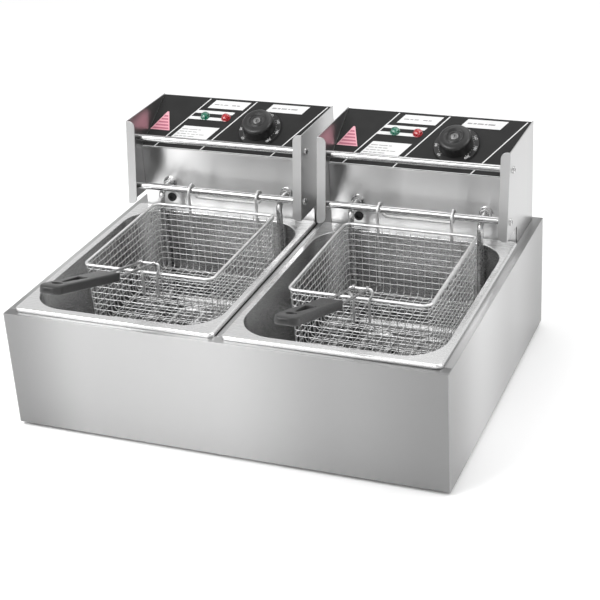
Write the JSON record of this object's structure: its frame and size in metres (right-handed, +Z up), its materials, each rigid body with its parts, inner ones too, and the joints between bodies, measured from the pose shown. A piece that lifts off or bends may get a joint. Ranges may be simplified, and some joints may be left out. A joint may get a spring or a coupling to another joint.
{
  "type": "deep fryer",
  "caption": "Countertop electric deep fryer: a brushed steel cabinet with lift-out tanks, control heads with knobs and lamps, and wire baskets on folding handles.",
  "frame": {"origin": "centre of the outline seen from above, at the height of the surface that the feet stand on", "axes": "+Z up, the front with the basket handles toward -Y, +X to the right as seen from the front"},
  "size_m": [0.56, 0.5753, 0.2938],
  "materials": {
    "basket_wire": "bright plated wire",
    "black_grommet": "black moulded plastic",
    "brushed_sheet": "brushed stainless sheet",
    "dial_plastic": "black moulded plastic with white marks",
    "element_sheath": "satin stainless heater tube",
    "foot_rubber": "black rubber",
    "green_lens": "translucent green lens",
    "grip_plastic": "black moulded plastic",
    "head_sheet": "brushed stainless sheet",
    "knob_plastic": "black moulded plastic",
    "nut_steel": "plated hexagon fitting",
    "overlay_print": "dark printed facing with white lines",
    "polished_rod": "polished stainless bar",
    "red_lens": "translucent red lens",
    "tank_steel": "satin pressed stainless steel",
    "thermostat_case": "plated steel case"
  },
  "bodies": {
    "cabinet": {"cabinet_front": "brushed_sheet", "cabinet_rear": "brushed_sheet", "cabinet_base": "brushed_sheet", "cabinet_side_left": "brushed_sheet", "cabinet_side_right": "brushed_sheet", "cabinet_divider": "brushed_sheet", "foot_front_left": "foot_rubber", "foot_front_right": "foot_rubber", "foot_rear_left": "foot_rubber", "foot_rear_right": "foot_rubber"},
    "tank_body_left": {"tank_left": "tank_steel"},
    "head_body_left": {"head_left_plate_left": "head_sheet", "head_left_plate_right": "head_sheet", "head_left_front": "head_sheet", "head_left_back": "head_sheet", "head_left_floor": "head_sheet", "head_left_upper_rod": "polished_rod", "head_left_lower_rod": "polished_rod", "control_overlay_left": "overlay_print", "lamp_green_left": "green_lens", "lamp_red_left": "red_lens", "thermostat_left": "thermostat_case", "element_left": "element_sheath", "element_nut_left_left": "nut_steel", "element_nut_left_right": "nut_steel", "grommet_left": "black_grommet", "cord_gland_left": "black_grommet"},
    "knob_body_left": {"knob_left": "knob_plastic", "dial_left": "dial_plastic"},
    "basket_body_left": {"basket_mesh_left": "basket_wire", "basket_rim_left": "basket_wire", "basket_hooks_left": "basket_wire", "basket_bracket_left": "basket_wire"},
    "handle_body_left": {"handle_prongs_left": "basket_wire", "handle_grip_left": "grip_plastic"},
    "tank_body_right": {"tank_right": "tank_steel"},
    "head_body_right": {"head_right_plate_left": "head_sheet", "head_right_plate_right": "head_sheet", "head_right_front": "head_sheet", "head_right_back": "head_sheet", "head_right_floor": "head_sheet", "head_right_upper_rod": "polished_rod", "head_right_lower_rod": "polished_rod", "control_overlay_right": "overlay_print", "lamp_green_right": "green_lens", "lamp_red_right": "red_lens", "thermostat_right": "thermostat_case", "element_right": "element_sheath", "element_nut_right_left": "nut_steel", "element_nut_right_right": "nut_steel", "grommet_right": "black_grommet", "cord_gland_right": "black_grommet"},
    "knob_body_right": {"knob_right": "knob_plastic", "dial_right": "dial_plastic"},
    "basket_body_right": {"basket_mesh_right": "basket_wire", "basket_rim_right": "basket_wire", "basket_hooks_right": "basket_wire", "basket_bracket_right": "basket_wire"},
    "handle_body_right": {"handle_prongs_right": "basket_wire", "handle_grip_right": "grip_plastic"}
  },
  "joints": [
    {"name": "tank_lift_left", "type": "slide", "parent": "cabinet", "child": "tank_body_left", "axis": [0, 0, 1], "range_m": [0, 0.15]},
    {"name": "head_lift_left", "type": "slide", "parent": "tank_body_left", "child": "head_body_left", "axis": [0, 0, 1], "range_m": [0, 0.15]},
    {"name": "knob_turn_left", "type": "hinge", "parent": "head_body_left", "child": "knob_body_left", "pos_m": [-0.09625, 0.228, 0.26736], "axis": [0, 0.497, -0.8678], "range_deg": [0, 270]},
    {"name": "basket_lift_left", "type": "slide", "parent": "head_body_left", "child": "basket_body_left", "axis": [0, -0.1, 0.995], "range_m": [0, 0.2]},
    {"name": "handle_fold_left", "type": "hinge", "parent": "basket_body_left", "child": "handle_body_left", "pos_m": [-0.12775, -0.06115, 0.198], "axis": [-1, 0, 0], "range_deg": [0, 120]},
    {"name": "tank_lift_right", "type": "slide", "parent": "cabinet", "child": "tank_body_right", "axis": [0, 0, 1], "range_m": [0, 0.15]},
    {"name": "head_lift_right", "type": "slide", "parent": "tank_body_right", "child": "head_body_right", "axis": [0, 0, 1], "range_m": [0, 0.15]},
    {"name": "knob_turn_right", "type": "hinge", "parent": "head_body_right", "child": "knob_body_right", "pos_m": [0.17775, 0.228, 0.26736], "axis": [0, 0.497, -0.8678], "range_deg": [0, 270]},
    {"name": "basket_lift_right", "type": "slide", "parent": "head_body_right", "child": "basket_body_right", "axis": [0, -0.1, 0.995], "range_m": [0, 0.2]},
    {"name": "handle_fold_right", "type": "hinge", "parent": "basket_body_right", "child": "handle_body_right", "pos_m": [0.14625, -0.06115, 0.198], "axis": [-1, 0, 0], "range_deg": [0, 120]}
  ]
}
